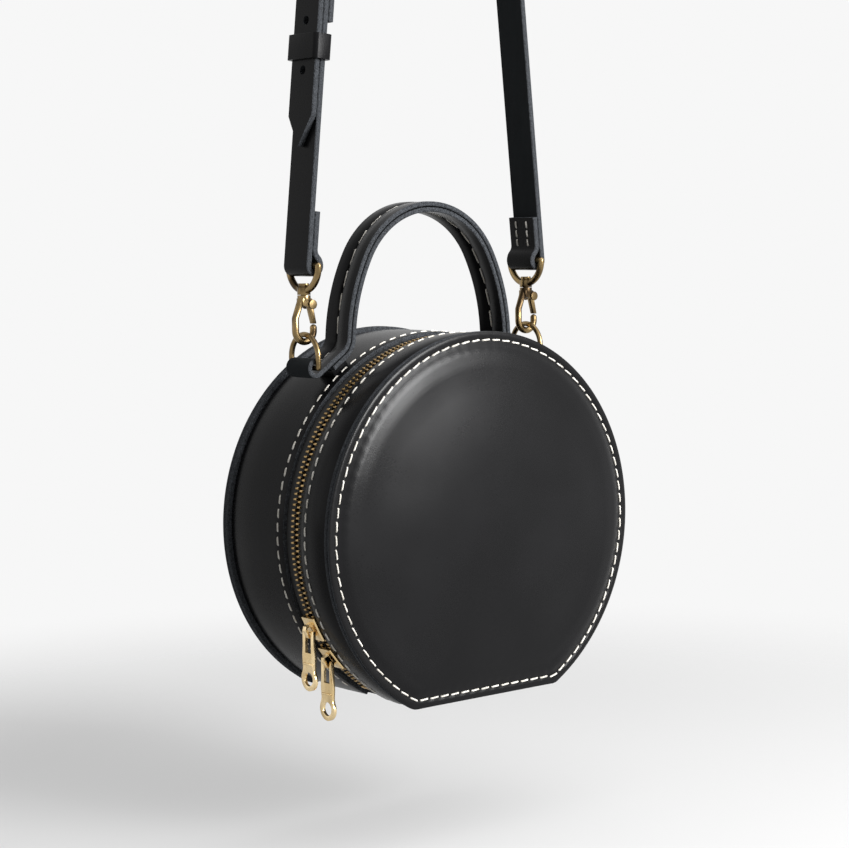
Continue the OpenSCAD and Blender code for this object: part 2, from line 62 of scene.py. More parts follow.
# %% [markdown]
# Leather patterns are drawn in millimetres from the middle of the bag's front rim, so a
# small function turns such a point into a place in the model. The middle and the zip's
# plane come from the slider's joint, and the rim from the front gusset.

# %% Places on the bag
MM = 0.001
PANEL = 2.2
WALL = 2.4
slider_centre = Vector(joints["slider_upper_run"]["pos_m"])
rim_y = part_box("front_gusset")[0].y - (PANEL + 0.05) * MM
origin = Vector((0, rim_y, slider_centre.z))
ZIP_Y = (slider_centre.y - rim_y) / MM
HAND_Y = -rim_y / MM
DEPTH = (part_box("back_seam_thread")[0].y - rim_y) / MM - 0.05
DISC_R = 95.0
FLAT = 83.5
GUSSET_R = 93.6
SLOT = 14.7
BASE_Z = -81.3


def place(x, y, z):
    return origin + Vector((x, y, z)) * MM


def polar(radius, degrees, y):
    a = math.radians(degrees)
    return place(radius * math.cos(a), y, radius * math.sin(a))


print("zip plane", round(ZIP_Y, 2), "handle plane", round(HAND_Y, 2), "depth", round(DEPTH, 2))

# %% [markdown]
# The camera stands where the photograph was taken from: low, to the left of the bag and
# fairly far away, with a long lens, so the two discs look almost equally large.

# %% Camera
LENS_PIXELS = 2140.9
PHOTO_WIDTH = 849
AZIMUTH = math.radians(-39.23)
ELEVATION = math.radians(5.244)
ROLL = math.radians(-0.625)

bpy.ops.object.select_all(action="DESELECT")
bpy.ops.object.camera_add(location=place(-673.6, -778.6, 144.9))
camera = bpy.context.object
camera.name = "photo_camera"
camera.data.sensor_width = 36
camera.data.lens = 36 * LENS_PIXELS / PHOTO_WIDTH
back = Vector((
    math.sin(AZIMUTH) * math.cos(ELEVATION),
    -math.cos(AZIMUTH) * math.cos(ELEVATION),
    math.sin(ELEVATION)))
camera.rotation_mode = "QUATERNION"
camera.rotation_quaternion = (-back).to_track_quat("-Z", "Y") @ Quaternion((0, 0, 1), ROLL)
camera.data.clip_start = 0.01
bpy.context.scene.camera = camera
print("lens", round(camera.data.lens, 1), "mm")

# %% [markdown]
# Materials are made of nodes. Writing each sum as nodes by hand is slow to read, so a small
# class wraps a socket and lets Python's own signs add the Math nodes.


# %% Shader helpers
class Signal:
    """A socket that can be used in a sum."""

    def __init__(self, finish, socket):
        self.finish = finish
        self.socket = socket

    def _with(self, operation, other, turned=False):
        pair = (other, self) if turned else (self, other)
        return self.finish.node("ShaderNodeMath", {"operation": operation}, pair)

    def __add__(self, other):
        return self._with("ADD", other)

    def __radd__(self, other):
        return self._with("ADD", other, True)

    def __sub__(self, other):
        return self._with("SUBTRACT", other)

    def __rsub__(self, other):
        return self._with("SUBTRACT", other, True)

    def __mul__(self, other):
        return self._with("MULTIPLY", other)

    def __rmul__(self, other):
        return self._with("MULTIPLY", other, True)

    def __pow__(self, other):
        return self._with("POWER", other)

    def between(self, low, high):
        settings = {"interpolation_type": "SMOOTHSTEP"}
        return self.finish.node("ShaderNodeMapRange", settings, {
            "Value": self, "From Min": low, "From Max": high})


class Finish:
    """A material under construction, with its Principled shader."""

    def __init__(self, name):
        self.material = bpy.data.materials.new(name)
        self.material.use_nodes = True
        self.tree = self.material.node_tree
        self.shader = self.tree.nodes["Principled BSDF"]
        self.place = self.node("ShaderNodeTexCoord", out="Object")

    def node(self, kind, settings=None, inputs=(), out=0):
        made = self.tree.nodes.new(kind)
        for key, value in (settings or {}).items():
            setattr(made, key, value)
        pairs = inputs.items() if isinstance(inputs, dict) else enumerate(inputs)
        for key, value in pairs:
            if isinstance(value, Signal):
                self.tree.links.new(value.socket, made.inputs[key])
            else:
                made.inputs[key].default_value = value
        return Signal(self, made.outputs[out])

    def noise(self, scale, detail=4, roughness=0.5, at=None):
        return self.node("ShaderNodeTexNoise", None, {
            "Vector": at or self.place, "Scale": scale, "Detail": detail,
            "Roughness": roughness}, "Fac")

    def cells(self, scale):
        return self.node("ShaderNodeTexVoronoi", None, {
            "Vector": self.place, "Scale": scale}, "Distance")

    def stretched(self, x, y, z):
        return self.node("ShaderNodeMapping", None, {
            "Vector": self.place, "Scale": (x, y, z)}, "Vector")

    def blend(self, share, first, second):
        made = self.node("ShaderNodeMix", {"data_type": "RGBA"}, out=2)
        sockets = made.socket.node.inputs
        for socket, value in zip((sockets[0], sockets[6], sockets[7]), (share, first, second)):
            if isinstance(value, Signal):
                self.tree.links.new(value.socket, socket)
            else:
                socket.default_value = value
        return made

    def feed(self, name, value):
        socket = self.shader.inputs[name]
        if isinstance(value, Signal):
            self.tree.links.new(value.socket, socket)
        else:
            socket.default_value = value

    def bump(self, height, depth_mm, strength=1.0):
        self.feed("Normal", self.node("ShaderNodeBump", None, {
            "Strength": strength, "Distance": depth_mm * MM, "Height": height}))


def grey(level, red=1.0, green=1.0, blue=1.0):
    return (level * red, level * green, level * blue, 1)


print("shader helpers ready")

# %% [markdown]
# The hide is vegetable-tanned and dyed black: smooth, with fine pores, faint creases where it
# was handled, and a soft waxy sheen. The discs take a copy of it that reflects more light than
# the walls and straps. This is painted light: it makes the discs look lit and the walls shaded,
# though they are one hide. Its cut edges and its flesh side took less dye, so they are greyer
# and fibrous.


# %% Leather finishes
def black_hide(name, gloss):
    f = Finish(name)
    clouds = f.noise(14, 3)
    pores = f.cells(1500)
    grain = f.noise(900, 4, 0.6)
    drift = f.noise(40, 2)
    lines = f.node("ShaderNodeTexNoise", {"noise_type": "RIDGED_MULTIFRACTAL"}, {
        "Vector": f.place, "Scale": 22.0, "Detail": 3.0, "Roughness": 0.6,
        "Distortion": 1.2}, "Fac")
    creases = lines.between(0.9, 1.5)
    colour = f.blend(clouds.between(0.3, 0.75), grey(0.0035, 1, 1, 1.12), grey(0.006, 1, 1, 1.1))
    f.feed("Base Color", colour)
    f.feed("Roughness", 0.18 + clouds * 0.12 + grain * 0.07 - creases * 0.04)
    f.feed("Specular IOR Level", gloss)
    height = grain * 0.35 + pores * 0.3 + drift * 0.5 + creases * 0.12
    f.bump(height, 0.12, 0.35)
    return f.material


def cut_edge():
    f = Finish("cut_edge")
    fibres = f.noise(1900, 3, 0.8)
    patches = f.noise(420, 3, 0.7)
    fray = (fibres * 0.85 + patches * 0.15).between(0.36, 0.66)
    f.feed("Base Color", f.blend(fray, grey(0.012, 1, 1.05, 1.15), grey(0.075, 1, 1.08, 1.2)))
    f.feed("Roughness", 0.75 + fibres * 0.2)
    f.feed("Specular IOR Level", 0.08)
    f.bump(fibres + patches * 0.6, 0.22, 0.8)
    return f.material


def flesh_side():
    f = Finish("flesh_side")
    nap = f.noise(2200, 5, 0.75)
    brushed = f.noise(160, 4, 0.6, at=f.stretched(1, 1, 0.25))
    f.feed("Base Color", f.blend(nap * 0.6 + brushed * 0.4, grey(0.008, 1, 1.1, 1.15),
                                 grey(0.036, 1, 1.12, 1.2)))
    f.feed("Roughness", 0.85 + nap * 0.1)
    f.feed("Specular IOR Level", 0.06)
    f.bump(nap + brushed, 0.18, 0.7)
    return f.material


# The disc copy reflects more light than the walls' copy, which is painted light: the discs look
# lit and the walls shaded.
HIDE, LIT_PANEL_HIDE = black_hide("black_hide", 0.07), black_hide("panel_hide_lit_copy", 0.16)
EDGE, FLESH = cut_edge(), flesh_side()
print("leather finishes", HIDE.name, LIT_PANEL_HIDE.name, EDGE.name, FLESH.name)

# %% [markdown]
# The thread is twisted and waxed, the zip's metal is bright brass, the hooks and rings are an
# aged brass with random dark patches, partly tarnish and partly painted dark reflection, and the
# zip's tape is woven black polyester.


# %% Thread, metal and tape finishes
def waxed_thread():
    f = Finish("waxed_thread")
    twist = f.node("ShaderNodeTexWave", {"bands_direction": "DIAGONAL"}, {
        "Vector": f.place, "Scale": 420.0, "Distortion": 1.5}, "Fac")
    dirt = f.noise(300, 3)
    f.feed("Base Color", f.blend(dirt.between(0.35, 0.7), grey(0.60, 1, 0.95, 0.85),
                                 grey(0.80, 1, 0.97, 0.90)))
    f.feed("Roughness", 0.55 + dirt * 0.2)
    f.feed("Specular IOR Level", 0.3)
    f.bump(twist + dirt * 0.3, 0.12, 0.7)
    return f.material


def bright_brass():
    f = Finish("bright_brass")
    marks = f.noise(1200, 3, 0.6)
    cloud = f.noise(120, 2)
    f.feed("Base Color", f.blend(cloud.between(0.3, 0.7), (0.68, 0.50, 0.25, 1),
                                 (0.86, 0.68, 0.40, 1)))
    f.feed("Metallic", 1.0)
    f.feed("Roughness", 0.16 + marks * 0.12 + cloud * 0.06)
    f.bump(marks + cloud, 0.02, 0.4)
    return f.material


def tooth_brass():
    f = Finish("tooth_brass")
    marks = f.noise(900, 3, 0.6)
    f.feed("Base Color", f.blend(marks.between(0.3, 0.7), (0.28, 0.18, 0.07, 1),
                                 (0.46, 0.32, 0.15, 1)))
    f.feed("Metallic", 1.0)
    f.feed("Roughness", 0.28 + marks * 0.15)
    f.bump(marks, 0.03, 0.5)
    return f.material


def aged_brass():
    f = Finish("aged_brass")
    tarnish_and_reflection_noise = f.noise(85, 2, 0.5)
    specks = f.noise(900, 3, 0.7)
    # The dark patches are partly tarnish and partly painted dark reflection, standing in for the
    # dark things the metal would mirror.
    tarnish_and_painted_reflection = tarnish_and_reflection_noise.between(0.36, 0.56)
    f.feed("Base Color", f.blend(tarnish_and_painted_reflection, (0.045, 0.03, 0.016, 1), (0.24, 0.17, 0.08, 1)))
    f.feed("Metallic", 1.0)
    f.feed("Roughness", 0.30 - tarnish_and_painted_reflection * 0.08 + specks * 0.08)
    f.bump(tarnish_and_reflection_noise + specks * 0.4, 0.02, 0.5)
    return f.material


def zip_weave():
    f = Finish("zip_weave")
    ribs = f.node("ShaderNodeTexWave", {"bands_direction": "Y"}, {
        "Vector": f.place, "Scale": 330.0}, "Fac")
    fibre = f.noise(1800, 3)
    f.feed("Base Color", f.blend(fibre, grey(0.006), grey(0.02)))
    f.feed("Roughness", 0.8 + fibre * 0.15)
    f.bump(ribs + fibre * 0.5, 0.15, 0.7)
    return f.material


THREAD, BRASS, TOOTH, AGED, WEAVE = (
    waxed_thread(), bright_brass(), tooth_brass(), aged_brass(), zip_weave())
print("other finishes", THREAD.name, BRASS.name, TOOTH.name, AGED.name, WEAVE.name)

# %% [markdown]
# Leather goods are strips and patterns that follow a path, and the metal is bent wire, so
# every piece starts as a point, a rectangle or a circle, and is then drawn along its path:
# Extrude makes each straight run and Spin makes each bend. Modifiers give thickness and
# rounded edges. Each helper selects only what it made, as the loaded model is selected too.


# %% Modelling helpers
def let_go():
    if bpy.context.mode != "OBJECT":
        bpy.ops.object.mode_set(mode="OBJECT")
    bpy.ops.object.select_all(action="DESELECT")


def focus(obj, edit=False):
    let_go()
    obj.select_set(True)
    bpy.context.view_layer.objects.active = obj
    if edit:
        bpy.ops.object.mode_set(mode="EDIT")
        bpy.ops.mesh.select_all(action="SELECT")


def begin_point(name, at):
    let_go()
    bpy.ops.mesh.primitive_plane_add(size=MM, location=at, enter_editmode=True)
    bpy.ops.mesh.merge(type="CENTER")
    bpy.context.object.name = name


def begin_circle(name, at, radius_mm, along, corners=16):
    let_go()
    turned = Vector(along).to_track_quat("Z", "Y").to_euler()
    bpy.ops.mesh.primitive_circle_add(vertices=corners, radius=radius_mm * MM, fill_type="NGON",
                                      location=at, rotation=turned, enter_editmode=True)
    bpy.context.object.name = name


def go(x, y, z):
    bpy.ops.mesh.extrude_region_move(TRANSFORM_OT_translate={"value": (x * MM, y * MM, z * MM)})


def turn(centre, degrees, steps, axis=(0, -1, 0)):
    """Spin what is selected. A positive turn about -Y goes from +X towards +Z.

    Spin itself counts its angle the other way round, so it is given the opposite sign.
    """
    bpy.ops.mesh.spin(steps=steps, angle=-math.radians(degrees), center=centre, axis=axis)


def outward():
    bpy.ops.mesh.select_all(action="SELECT")
    bpy.ops.mesh.remove_doubles(threshold=0.02 * MM)
    bpy.ops.mesh.normals_make_consistent(inside=False)
    bpy.ops.object.mode_set(mode="OBJECT")


def settle(*materials):
    """Leave edit mode and put the finished object at the origin, its place in its mesh."""
    if bpy.context.mode != "OBJECT":
        outward()
    obj = bpy.context.object
    focus(obj)
    bpy.ops.object.transform_apply(location=True, rotation=True, scale=True)
    for material in materials:
        obj.data.materials.append(material)
    return obj


def modify(obj, kind, **settings):
    focus(obj)
    made = obj.modifiers.new(kind.lower(), kind)
    for key, value in settings.items():
        setattr(made, key, value)
    bpy.ops.object.modifier_apply(modifier=made.name)
    return obj


def rounded(obj, width_mm, segments=2, degrees=35):
    modify(obj, "BEVEL", width=width_mm * MM, segments=segments,
           angle_limit=math.radians(degrees), use_clamp_overlap=True)
    bpy.ops.object.shade_smooth_by_angle(angle=math.radians(40))
    return obj


def join(name, parts):
    let_go()
    for part in parts:
        part.select_set(True)
    bpy.context.view_layer.objects.active = parts[0]
    bpy.ops.object.join()
    bpy.context.object.name = name
    return bpy.context.object


def copies(name, pattern, places):
    """One copy of the pattern for each matrix, each with its own mesh, joined at the end."""
    made = []
    for matrix in places:
        twin = pattern.copy()
        twin.data = pattern.data.copy()
        twin.data.transform(matrix)
        bpy.context.scene.collection.objects.link(twin)
        made.append(twin)
    bpy.data.objects.remove(pattern)
    return join(name, made)


print("helpers ready")

# %% [markdown]
# Everything on the bag is sewn along a line that keeps its distance from an edge. The
# outline of the disc is an arc with a flat chord and rounded corners, so one function walks
# along it at any inset, and another marks the stitch places along it at an even pitch.

# %% The disc's outline and the stitch places
CORNER_R = 9.0
SEAM_IN = 4.3
SEAM_PITCH = 6.4


def outline(inset, step=0.5):
    """Points (x, z) in millimetres, anticlockwise from the bottom's left end."""
    r, low, c = DISC_R - inset, -FLAT + inset, CORNER_R - inset
    cx = math.sqrt((r - c) ** 2 - (low + c) ** 2)
    rise = math.degrees(math.atan2(low + c, cx))
    points = []

    def arc(x, z, radius, start, end):
        count = max(2, int(abs(end - start) * math.pi / 180 * radius / step))
        for i in range(count):
            a = math.radians(start + (end - start) * i / count)
            points.append((x + radius * math.cos(a), z + radius * math.sin(a)))

    along = max(2, int(2 * cx / step))
    points.extend((-cx + 2 * cx * i / along, low) for i in range(along))
    arc(cx, low + c, c, -90, rise)
    arc(0, 0, r, rise, 180 - rise)
    arc(-cx, low + c, c, 180 - rise, 270)
    return points


def spaced(points, pitch, closed=True):
    """Middles and directions of stitches at an even pitch along the points."""
    loop = points + points[:1] if closed else points
    lengths = [math.dist(a, b) for a, b in zip(loop, loop[1:])]
    total = sum(lengths)
    count = round(total / pitch)
    made, walked, i = [], 0.0, 0
    for k in range(count):
        want = (k + 0.5) * total / count
        while walked + lengths[i] < want:
            walked += lengths[i]
            i += 1
        a, b = Vector(loop[i]), Vector(loop[i + 1])
        made.append((a.lerp(b, (want - walked) / lengths[i]), (b - a).normalized()))
    return made


seam_places = spaced(outline(SEAM_IN), SEAM_PITCH)
print("stitches round each disc:", len(seam_places))

# %% [markdown]
# Each disc is a thick hide, pulled down along the seam and swollen behind it like a flat
# pillow. A circle is cut flat at the bottom, filled with rings by scaling, and each point is
# then pushed in or out: a dome, a groove along the seam, and a small dimple at each stitch.

# %% The two discs
from mathutils.kdtree import KDTree
from mathutils import noise

DOME = 7.0
RINGS = (0.990, 0.980, 0.970, 0.962, 0.955, 0.948, 0.938, 0.925, 0.908, 0.885, 0.855,
         0.815, 0.765, 0.70, 0.62, 0.53, 0.43, 0.32, 0.21, 0.10)

dimples = KDTree(2 * len(seam_places))
for spot, way in seam_places:
    for end in (-2.2, 2.2):
        hole = spot + way * end
        dimples.insert((hole.x, hole.y, 0), 0)
dimples.balance()


def soft_min(a, b, blend):
    return min(a, b) - blend * math.log(1 + math.exp(-abs(a - b) / blend))


def pushed_out(x, z):
    """How far the disc's outer face stands out at a point, in millimetres."""
    to_round, to_flat = DISC_R - math.hypot(x, z), z + FLAT
    edge = max(soft_min(to_round, to_flat, 2.0), 0)
    share = 1 - soft_min(to_round, to_flat, 11) / DISC_R
    dome = DOME * (1 - min(share / 0.945, 1) ** 2.5)
    plump = 0.9 * math.exp(-((edge - 13) / 7) ** 2)
    groove = 0.45 * math.exp(-((edge - SEAM_IN) / 1.1) ** 2)
    near = dimples.find((x, z, 0))[2]
    dimple = 0.45 * math.exp(-(near / 1.5) ** 2)
    pucker = 0.34 * math.exp(-((edge - 7.5) / 2.6) ** 2) * math.cos(near * 1.3)
    lumps = 0.35 * noise.noise(Vector((x, z, 3)) * 0.035) * min(edge / 12, 1)
    return dome + plump - groove - dimple + pucker + lumps - 0.35 * math.exp(-(edge / 0.9) ** 2)


def disc(name, face_y, out):
    """A disc whose rim face is at face_y and whose dome points along out (-1 or 1) in Y."""
    let_go()
    bpy.ops.mesh.primitive_circle_add(vertices=384, radius=DISC_R * MM, fill_type="NGON",
                                      location=place(0, face_y, 0),
                                      rotation=(math.radians(-90 * out), 0, 0))
    obj = bpy.context.object
    obj.name = name
    bpy.ops.object.transform_apply(location=True, rotation=True)
    focus(obj, edit=True)
    bpy.ops.mesh.bisect(plane_co=place(0, 0, -FLAT), plane_no=(0, 0, -1), clear_outer=True)
    mesh = bmesh.from_edit_mesh(obj.data)
    bpy.ops.mesh.select_all(action="DESELECT")
    bpy.ops.mesh.select_mode(type="VERT")
    low = place(0, 0, -FLAT).z + 0.00005
    for vertex in mesh.verts:
        vertex.select = vertex.co.z < low
    bmesh.update_edit_mesh(obj.data)
    bpy.ops.mesh.bevel(offset=0.0022, segments=4, affect="VERTICES")
    bpy.ops.mesh.select_all(action="DESELECT")
    mesh = bmesh.from_edit_mesh(obj.data)
    for edge in mesh.edges:
        edge.select = edge.calc_length() > 0.02
    bmesh.update_edit_mesh(obj.data)
    bpy.ops.mesh.subdivide(number_cuts=52)
    bpy.ops.mesh.select_all(action="SELECT")
    bpy.ops.mesh.remove_doubles(threshold=0.0005)
    centre = place(0, face_y, 0)
    bpy.ops.mesh.inset(thickness=(1 - RINGS[0]) * DISC_R * MM, depth=0)
    before = RINGS[0]
    for share in RINGS[1:]:
        bpy.ops.mesh.extrude_region_move()
        bpy.ops.transform.resize(value=(share / before, 1, share / before),
                                 center_override=centre)
        before = share
    bpy.ops.mesh.poke()
    bpy.ops.mesh.select_all(action="SELECT")
    bpy.ops.object.mode_set(mode="OBJECT")
    for vertex in obj.data.vertices:
        x, z = vertex.co.x / MM, (vertex.co.z - origin.z) / MM
        vertex.co.y += out * pushed_out(x, z) * MM
    settle(LIT_PANEL_HIDE, EDGE, FLESH)
    if obj.data.polygons[0].normal.y * out < 0:
        focus(obj, edit=True)
        bpy.ops.mesh.flip_normals()
        bpy.ops.object.mode_set(mode="OBJECT")
    modify(obj, "SOLIDIFY", thickness=PANEL * MM, offset=-1, material_offset=2,
           material_offset_rim=1)
    rounded(obj, 0.45, 2, 50)
    print(name, len(obj.data.polygons), "faces")
    return obj


front_disc = disc("front_disc", 0, -1)
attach(front_disc, "front_cover")
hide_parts("front_panel")
back_disc = disc("back_disc", DEPTH, 1)
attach(back_disc, "bag")
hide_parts("back_panel")

# %% [markdown]
# The wall between a disc and the zip is one band of hide with a raw edge at the zip. Its
# profile is drawn as a few extruded points and spun round the bag's axis, and the Solidify
# modifier gives it the hide's thickness. A flat ring behind each disc is its turned edge.

# %% Gusset walls and their turned edges
def spun_band(name, profile, start, end, steps, *materials):
    """Spin a profile of (radius, depth) points from one angle to another about the axis."""
    radius, y = profile[0]
    begin_point(name, polar(radius, start, y))
    a = math.radians(start)
    for next_radius, next_y in profile[1:]:
        out = next_radius - radius
        go(out * math.cos(a), next_y - y, out * math.sin(a))
        radius, y = next_radius, next_y
    bpy.ops.mesh.select_all(action="SELECT")
    turn(place(0, 0, 0), end - start, steps)
    obj = settle(*materials)
    middle = obj.data.polygons[len(obj.data.polygons) // 2]
    away = middle.center - Vector((origin.x, middle.center.y, origin.z))
    if middle.normal.dot(away) < 0:
        focus(obj, edit=True)
        bpy.ops.mesh.flip_normals()
        bpy.ops.object.mode_set(mode="OBJECT")
    return obj


def turned_edge(name, y0, y1):
    """A flat ring of hide with the disc's outline, from y0 to y1."""
    let_go()
    bpy.ops.mesh.primitive_circle_add(vertices=256, radius=(DISC_R - 0.15) * MM,
                                      fill_type="NGON", location=place(0, y0, 0),
                                      rotation=(math.radians(-90), 0, 0))
    obj = bpy.context.object
    obj.name = name
    bpy.ops.object.transform_apply(location=True, rotation=True)
    focus(obj, edit=True)
    bpy.ops.mesh.bisect(plane_co=place(0, 0, -FLAT + 0.15), plane_no=(0, 0, -1),
                        clear_outer=True)
    bpy.ops.mesh.select_all(action="SELECT")
    bpy.ops.mesh.inset(thickness=0.006, depth=0)
    bpy.ops.mesh.delete(type="FACE")
    bpy.ops.mesh.select_all(action="SELECT")
    bpy.ops.mesh.extrude_region_move(
        TRANSFORM_OT_translate={"value": (0, (y1 - y0) * MM, 0)})
    return settle(LIT_PANEL_HIDE, EDGE)


def gusset(name, profile, edge_y0, edge_y1):
    wall = spun_band(name + "_wall", profile, -61.6, 241.6, 150, HIDE, EDGE, FLESH)
    modify(wall, "SOLIDIFY", thickness=WALL * MM, offset=-1, material_offset=2,
           material_offset_rim=1)
    rounded(wall, 0.35, 2, 50)
    edge = turned_edge(name + "_turned", edge_y0, edge_y1)
    for face in edge.data.polygons:
        face.material_index = 1
    rounded(edge, 0.4, 2, 50)
    return join(name, [wall, edge])


rear_wall = gusset("rear_gusset_leather", [
    (GUSSET_R, ZIP_Y + SLOT / 2), (93.62, 45), (93.8, 55), (93.8, 66), (93.5, 74),
    (92.9, 80), (92.6, DEPTH - PANEL - 2.1)], DEPTH - PANEL - 2.12, DEPTH - PANEL - 0.05)
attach(rear_wall, "bag")
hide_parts("rear_gusset")
front_wall = gusset("front_gusset_leather", [
    (92.2, PANEL + 2.1), (92.9, 6.5), (93.8, 9.5), (94.1, 13), (93.95, 16.5), (93.7, 20),
    (GUSSET_R, ZIP_Y - SLOT / 2)], PANEL + 0.05, PANEL + 2.12)
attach(front_wall, "front_cover")
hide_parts("front_gusset")
print("walls", [len(o.data.polygons) for o in (rear_wall, front_wall)])

# %% [markdown]
# Under the bag one strip of hide joins the two walls. The front cover folds open along it,
# so it is one sheet with many rows of points. It is cut a little wider than the gap between
# the walls' ends, so that no light shows beside it.

# %% Base leather
let_go()
bpy.ops.mesh.primitive_plane_add(size=1, location=place(0, DEPTH / 2, BASE_Z + WALL / 2))
base = bpy.context.object
base.name = "base_leather"
base.scale = (87.2 * MM, (DEPTH - 2 * PANEL - 0.2) * MM, 1)
focus(base, edit=True)
bpy.ops.mesh.subdivide(number_cuts=59)
base = settle(HIDE, EDGE, FLESH)
for vertex in base.data.vertices:
    sag = noise.noise(vertex.co * 40) * 0.25 - 0.1
    vertex.co.z += sag * MM
modify(base, "SOLIDIFY", thickness=WALL * MM, offset=0, material_offset_rim=1)
rounded(base, 0.35, 2, 50)
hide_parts("base_rear", "base_front")
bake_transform(base)
print("base", len(base.data.polygons), "faces")

# %% [markdown]
# The zip's two tapes are thin woven bands that lie just inside the walls' raw edges.

# %% Zip tapes
TAPE_R = 90.6
ZIP_START, ZIP_END = -57.0, 237.0
for name, body, near, far in (("rear_tape", "bag", 1.0, 15.0),
                              ("front_tape", "front_cover", -1.0, -15.0)):
    tape = spun_band(name, [(TAPE_R + 0.25, ZIP_Y + near), (TAPE_R + 0.25, ZIP_Y + near * 2),
                            (TAPE_R + 0.25, ZIP_Y + far)], ZIP_START, ZIP_END, 120, WEAVE)
    modify(tape, "SOLIDIFY", thickness=0.5 * MM, offset=0)
    rounded(tape, 0.12, 1, 60)
    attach(tape, body)
    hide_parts("zip_tape_" + name.split("_")[0])
print("tapes made")

# %% [markdown]
# A hand-sewn saddle stitch comes out of one hole, lies on the hide and goes down the next.
# One stitch is drawn as a hexagon that turns up, runs and turns down. It is then copied to
# each stitch place, with its own X along the seam and its Z out of the leather.

# %% One stitch
def stitch(length, radius=0.46):
    half = length / 2
    begin_circle("stitch", Vector((-half, 0, -0.62)) * MM, radius, (0, 0, 1), 6)
    turn(Vector((0.6 - half, 0, -0.62)) * MM, 90, 3, (0, 1, 0))
    go(length - 1.2, 0, 0)
    turn(Vector((half - 0.6, 0, -0.62)) * MM, 90, 3, (0, 1, 0))
    return settle(THREAD)


def basis(at, along, out, slant=4.0):
    """Stand a stitch at a place, slightly slanted as a saddle stitch lies."""
    side = out.cross(along)
    square = Matrix((
        (along.x, side.x, out.x, at.x), (along.y, side.y, out.y, at.y),
        (along.z, side.z, out.z, at.z), (0, 0, 0, 1)))
    return square @ Matrix.Rotation(math.radians(slant), 4, "Z")


def sew(name, length, places, body, *nodes):
    made = copies(name, stitch(length), places)
    bpy.ops.object.shade_smooth()
    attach(made, body)
    if nodes:
        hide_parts(*nodes)
    print(name, len(places), "stitches")
    return made


# %% [markdown]
# The seams round the two discs follow the outline, and those beside the zip follow the
# walls as arcs.

# %% Seams of the bag
def disc_seam(face_y, out):
    made = []
    for spot, way in seam_places:
        y = face_y + out * (pushed_out(spot.x, spot.y) + 0.18)
        made.append(basis(place(spot.x, y, spot.y), Vector((way.x, 0, way.y)),
                          Vector((0, out, 0))))
    return made


def arc_seam(radius, y, start, end, pitch):
    count = round(math.radians(end - start) * radius / pitch)
    made = []
    for k in range(count):
        degrees = start + (end - start) * (k + 0.5) / count
        a = math.radians(degrees)
        made.append(basis(polar(radius, degrees, y), Vector((-math.sin(a), 0, math.cos(a))),
                          Vector((math.cos(a), 0, math.sin(a)))))
    return made


sew("front_seam", 4.3, disc_seam(0, -1), "front_cover", "front_seam_thread")
sew("back_seam", 4.3, disc_seam(DEPTH, 1), "bag", "back_seam_thread")
REAR_ROW, FRONT_ROW = ZIP_Y + SLOT / 2 + 4, ZIP_Y - SLOT / 2 - 3.2
sew("rear_zip_seam", 3.9, arc_seam(GUSSET_R + 0.1, REAR_ROW, -56, 236, 6.65), "bag",
    "rear_zip_thread")
sew("front_zip_seam", 3.9, arc_seam(GUSSET_R + 0.2, FRONT_ROW, -56, 236, 6.65),
    "front_cover", "front_zip_thread")

# %% [markdown]
# A metal zip tooth is a small casting clamped on the tape's edge, with a rounded head that
# locks between two teeth of the other row. One tooth is made from a cube whose inner face is
# drawn out and narrowed, and it is copied along both rows. Between the two sliders the zip
# is open, so a few teeth stand away from the middle.

# %% Zip teeth
PITCH = 2.54
OPEN_AT, OPEN_HALF, OPEN_SPREAD = 213.7, 4.2, 1.5


def zip_tooth():
    let_go()
    bpy.ops.mesh.primitive_cube_add(size=1, location=(0, 1.85 * MM, 0),
                                    scale=(0.98 * MM, 1.9 * MM, 2.35 * MM))
    bpy.ops.object.transform_apply(location=True, scale=True)
    obj = bpy.context.object
    focus(obj, edit=True)
    bpy.ops.mesh.select_all(action="DESELECT")
    mesh = bmesh.from_edit_mesh(obj.data)
    for face in mesh.faces:
        face.select = face.normal.y < -0.9
    bmesh.update_edit_mesh(obj.data)
    go(0, -0.55, 0)
    bpy.ops.transform.resize(value=(0.85, 1, 0.62))
    go(0, -0.85, 0)
    bpy.ops.transform.resize(value=(1, 1, 0.85))
    obj = settle(TOOTH)
    modify(obj, "BEVEL", width=0.16 * MM, segments=1, angle_limit=math.radians(40))
    return obj


def tooth_row(side, offset):
    step = math.degrees(PITCH / TAPE_R)
    made = []
    degrees = ZIP_START + 2 + offset * step
    while degrees < ZIP_END - 2:
        a = math.radians(degrees)
        out = Vector((math.cos(a), 0, math.sin(a)))
        gap = min(1, max(0, 1 - abs(degrees - OPEN_AT) / OPEN_HALF))
        spread = OPEN_SPREAD * gap * side
        at = polar(91.0, degrees, ZIP_Y + spread)
        along = Vector((math.sin(a), 0, -math.cos(a))) * side
        turned = basis(at, along, out) @ Matrix.Rotation(gap * 0.25 * side, 4, "Z")
        made.append(turned)
        degrees += step
    return made


for row, body, side, offset in (("rear", "bag", 1, 0), ("front", "front_cover", -1, 0.5)):
    teeth = copies(row + "_teeth", zip_tooth(), tooth_row(side, offset))
    bpy.ops.object.shade_smooth_by_angle(angle=math.radians(40))
    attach(teeth, body)
    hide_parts("zip_teeth_" + row)
    print(row, "row", len(teeth.data.polygons), "faces")

# %% [markdown]
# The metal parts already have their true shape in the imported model, but their edges are
# razor sharp, and real castings are tumbled until every edge catches the light. A copy of
# each is merged into clean faces, and the Bevel modifier rounds it.

